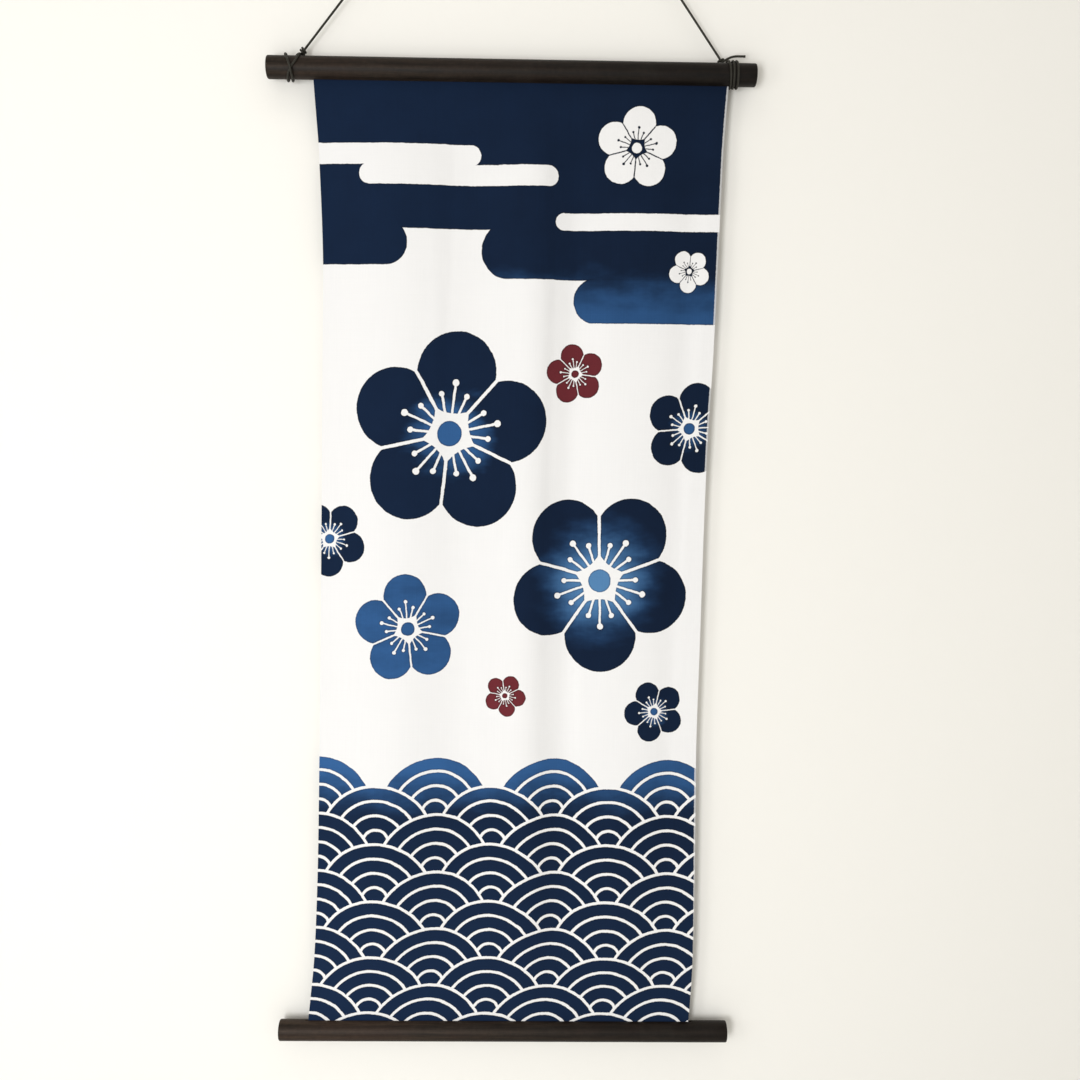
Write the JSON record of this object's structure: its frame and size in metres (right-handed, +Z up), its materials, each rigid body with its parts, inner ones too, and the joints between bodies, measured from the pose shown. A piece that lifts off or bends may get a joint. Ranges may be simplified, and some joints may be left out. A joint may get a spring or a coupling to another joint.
{
  "type": "tenugui towel on wooden hanging bars",
  "caption": "Dyed cotton towel stretched between an upper and a lower round wooden bar, with a hanging cord tied round the ends of the upper bar.",
  "frame": {"origin": "the underside of the hanging cord at the top of its triangle, the point that rests on a peg or hook", "axes": "+Z up, +X to the right of someone who faces the towel, +Y towards the wall"},
  "size_m": [0.428, 0.0295, 1.152],
  "materials": {
    "cotton": "plain-weave cotton, hand dyed in navy, mid blue and a little dark red on white, matte",
    "stained_wood": "straight-grained wood stained near black brown, semi-matte",
    "waxed_cord": "thin twisted cord, waxed, near black brown"
  },
  "bodies": {
    "root": {"cloth": "cotton", "top_bar": "stained_wood", "bottom_bar": "stained_wood", "hanging_cord": "waxed_cord"}
  },
  "joints": []
}
